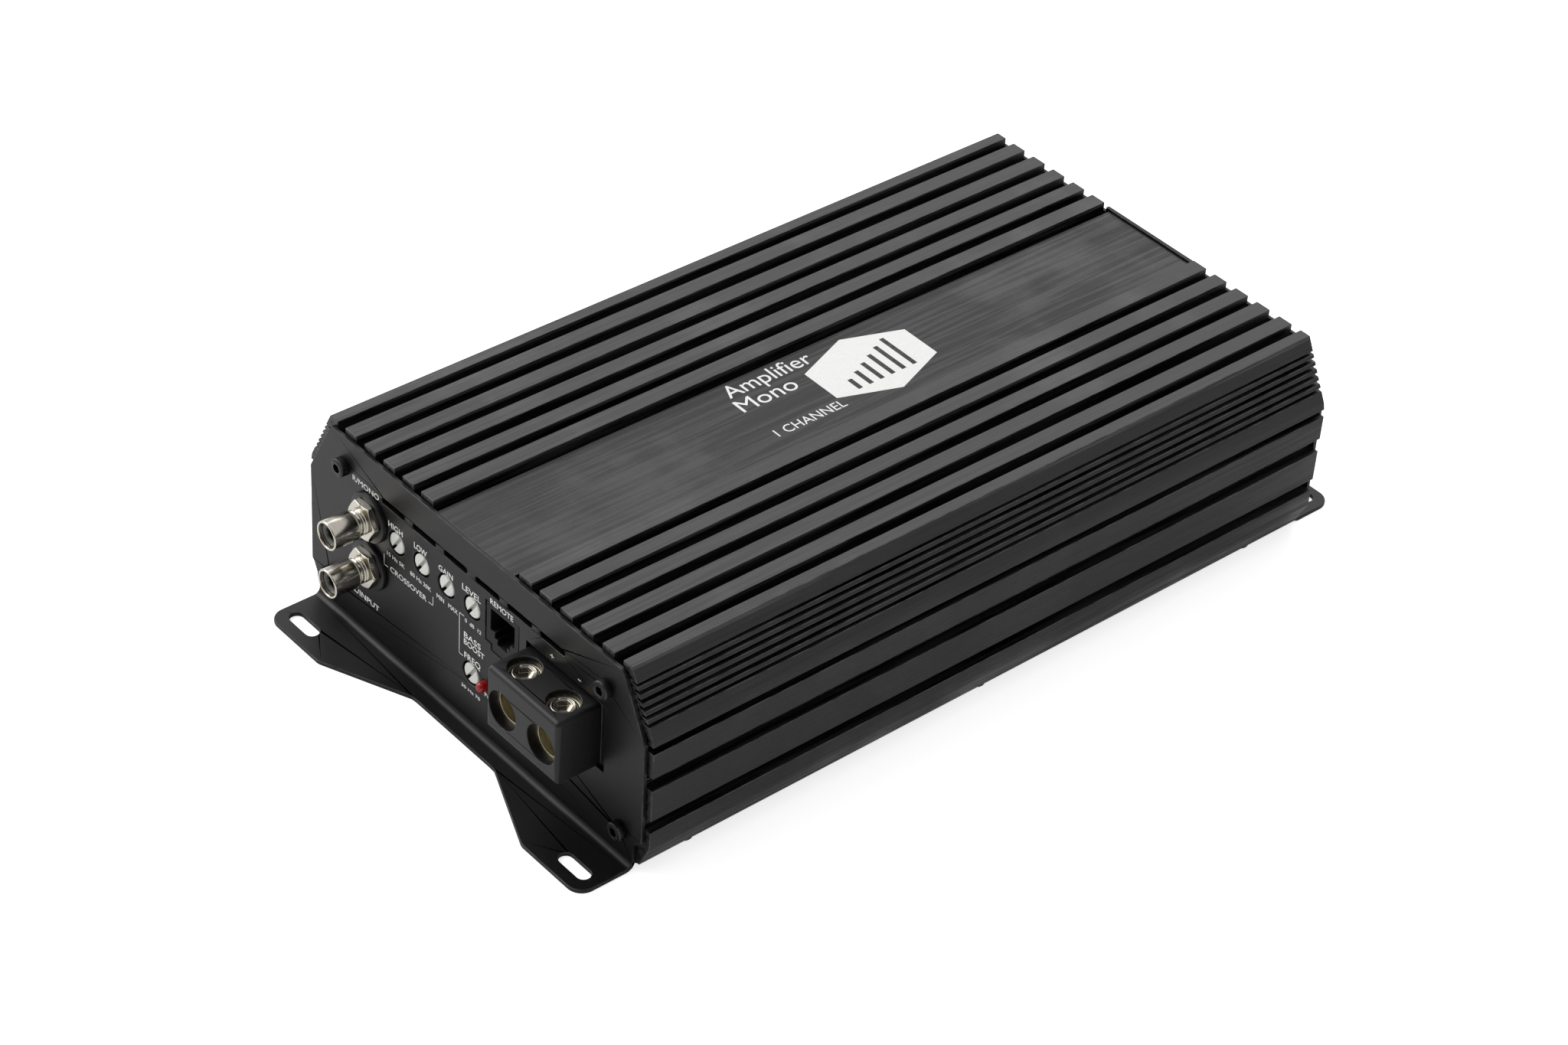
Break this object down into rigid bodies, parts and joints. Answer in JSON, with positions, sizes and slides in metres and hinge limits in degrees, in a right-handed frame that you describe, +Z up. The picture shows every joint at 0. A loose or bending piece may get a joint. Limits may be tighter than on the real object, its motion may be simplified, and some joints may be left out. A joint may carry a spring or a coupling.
{
  "type": "car audio power amplifier",
  "caption": "Finned black extruded amplifier case with folded end-plate feet, phono input jacks, trimmer controls, a remote jack and screw-clamp cable blocks.",
  "frame": {"origin": "centre of the four foot slots, on the mounting plane under the feet", "axes": "+Z up from the mounting surface; the control end faces -Y and the supply end +Y; +X is to the right when facing the controls"},
  "size_m": [0.1442, 0.27, 0.0623],
  "materials": {
    "black_anodised_extrusion": "black anodised, brushed along its length",
    "black_powder_coat": "satin black powder coat with a fine texture",
    "black_oxide_steel": "black oxide",
    "blue_black_pot_case": "moulded",
    "white_rotor_plastic": "moulded",
    "bright_nickel": "nickel plated",
    "grey_insulator": "moulded",
    "gold_brass": "gold flashed",
    "black_plastic": "moulded, fine texture",
    "red_lens": "tinted and clear",
    "satin_nickel_brass": "satin nickel on brass",
    "circuit_board": "solder mask on glass laminate",
    "zinc_steel": "zinc plated",
    "varnished_copper": "varnished winding",
    "black_can_sleeve": "shrunk sleeve",
    "red_film_case": "dipped",
    "black_epoxy": "moulded",
    "grey_silicone": "soft pad"
  },
  "bodies": {
    "case": {"heatsink_body": "black_anodised_extrusion", "front_end_plate": "black_powder_coat", "rear_end_plate": "black_powder_coat", "bottom_cover": "black_powder_coat", "front_plate_screws": "black_oxide_steel", "rear_plate_screws": "black_oxide_steel", "bottom_cover_screws": "black_oxide_steel", "high_pass_pot_body": "blue_black_pot_case", "low_pass_pot_body": "blue_black_pot_case", "gain_pot_body": "blue_black_pot_case", "bass_level_pot_body": "blue_black_pot_case", "bass_frequency_pot_body": "blue_black_pot_case", "rca_upper_shell": "bright_nickel", "rca_upper_insulator": "grey_insulator", "rca_upper_contact": "gold_brass", "rca_lower_shell": "bright_nickel", "rca_lower_insulator": "grey_insulator", "rca_lower_contact": "gold_brass", "rca_flange_washers": "black_plastic", "output_terminal_housing": "black_plastic", "power_terminal_housing": "black_plastic", "remote_jack_housing": "black_plastic", "led_holder": "black_plastic", "board_link_header": "black_plastic", "rca_nuts": "bright_nickel", "remote_jack_contacts": "gold_brass", "power_led": "red_lens", "output_terminal_inserts": "satin_nickel_brass", "power_terminal_inserts": "satin_nickel_brass", "main_circuit_board": "circuit_board", "control_board": "circuit_board", "driver_board": "circuit_board", "board_standoffs": "zinc_steel", "board_screws": "zinc_steel", "transistor_clamps": "zinc_steel", "clamp_bolts": "zinc_steel", "transformer_clamp": "zinc_steel", "power_transformer": "varnished_copper", "output_inductor": "varnished_copper", "supply_capacitors": "black_can_sleeve", "filter_capacitors": "red_film_case", "power_transistors": "black_epoxy", "insulating_strips": "grey_silicone"},
    "high_pass_rotor": {"high_pass_pot_shaft": "white_rotor_plastic"},
    "low_pass_rotor": {"low_pass_pot_shaft": "white_rotor_plastic"},
    "gain_rotor": {"gain_pot_shaft": "white_rotor_plastic"},
    "bass_level_rotor": {"bass_level_pot_shaft": "white_rotor_plastic"},
    "bass_frequency_rotor": {"bass_frequency_pot_shaft": "white_rotor_plastic"},
    "output_positive_presser": {"output_positive_pad": "satin_nickel_brass"},
    "output_positive_grub": {"output_positive_screw": "bright_nickel"},
    "output_negative_presser": {"output_negative_pad": "satin_nickel_brass"},
    "output_negative_grub": {"output_negative_screw": "bright_nickel"},
    "power_ground_presser": {"power_ground_pad": "satin_nickel_brass"},
    "power_ground_grub": {"power_ground_screw": "bright_nickel"},
    "power_battery_presser": {"power_battery_pad": "satin_nickel_brass"},
    "power_battery_grub": {"power_battery_screw": "bright_nickel"},
    "power_turn_on_presser": {"power_turn_on_pad": "satin_nickel_brass"},
    "power_turn_on_grub": {"power_turn_on_screw": "bright_nickel"}
  },
  "joints": [
    {"name": "high_pass_turn", "type": "hinge", "parent": "case", "child": "high_pass_rotor", "pos_m": [-0.0319, -0.1161, 0.0403], "axis": [0, 1, 0], "range_deg": [-140, 140]},
    {"name": "low_pass_turn", "type": "hinge", "parent": "case", "child": "low_pass_rotor", "pos_m": [-0.0211, -0.1161, 0.0403], "axis": [0, 1, 0], "range_deg": [-140, 140]},
    {"name": "gain_turn", "type": "hinge", "parent": "case", "child": "gain_rotor", "pos_m": [-0.0104, -0.1161, 0.0403], "axis": [0, 1, 0], "range_deg": [-140, 140]},
    {"name": "bass_level_turn", "type": "hinge", "parent": "case", "child": "bass_level_rotor", "pos_m": [0.0005, -0.1161, 0.0403], "axis": [0, 1, 0], "range_deg": [-140, 140]},
    {"name": "bass_frequency_turn", "type": "hinge", "parent": "case", "child": "bass_frequency_rotor", "pos_m": [0.0003, -0.1161, 0.0185], "axis": [0, 1, 0], "range_deg": [-140, 140]},
    {"name": "output_positive_press", "type": "slide", "parent": "case", "child": "output_positive_presser", "axis": [0, 0, -1], "range_m": [0, 0.004]},
    {"name": "output_positive_tighten", "type": "hinge", "parent": "output_positive_presser", "child": "output_positive_grub", "pos_m": [0.0298, -0.1242, 0.0395], "axis": [0, 0, -1], "range_deg": [0, 1440]},
    {"name": "output_negative_press", "type": "slide", "parent": "case", "child": "output_negative_presser", "axis": [0, 0, -1], "range_m": [0, 0.004]},
    {"name": "output_negative_tighten", "type": "hinge", "parent": "output_negative_presser", "child": "output_negative_grub", "pos_m": [0.0454, -0.1242, 0.0395], "axis": [0, 0, -1], "range_deg": [0, 1440]},
    {"name": "power_ground_press", "type": "slide", "parent": "case", "child": "power_ground_presser", "axis": [0, 0, -1], "range_m": [0, 0.004]},
    {"name": "power_ground_tighten", "type": "hinge", "parent": "power_ground_presser", "child": "power_ground_grub", "pos_m": [-0.0155, 0.1252, 0.0395], "axis": [0, 0, -1], "range_deg": [0, 1440]},
    {"name": "power_battery_press", "type": "slide", "parent": "case", "child": "power_battery_presser", "axis": [0, 0, -1], "range_m": [0, 0.004]},
    {"name": "power_battery_tighten", "type": "hinge", "parent": "power_battery_presser", "child": "power_battery_grub", "pos_m": [0.0155, 0.1252, 0.0395], "axis": [0, 0, -1], "range_deg": [0, 1440]},
    {"name": "power_turn_on_press", "type": "slide", "parent": "case", "child": "power_turn_on_presser", "axis": [0, 0, -1], "range_m": [0, 0.0025]},
    {"name": "power_turn_on_tighten", "type": "hinge", "parent": "power_turn_on_presser", "child": "power_turn_on_grub", "pos_m": [0, 0.1252, 0.0395], "axis": [0, 0, -1], "range_deg": [0, 900]}
  ],
  "couplings": [
    {"joint": "output_positive_tighten", "follows": "output_positive_press", "rad_per_m": 6283.2},
    {"joint": "output_negative_tighten", "follows": "output_negative_press", "rad_per_m": 6283.2},
    {"joint": "power_ground_tighten", "follows": "power_ground_press", "rad_per_m": 6283.2},
    {"joint": "power_battery_tighten", "follows": "power_battery_press", "rad_per_m": 6283.2},
    {"joint": "power_turn_on_tighten", "follows": "power_turn_on_press", "rad_per_m": 6283.2}
  ]
}
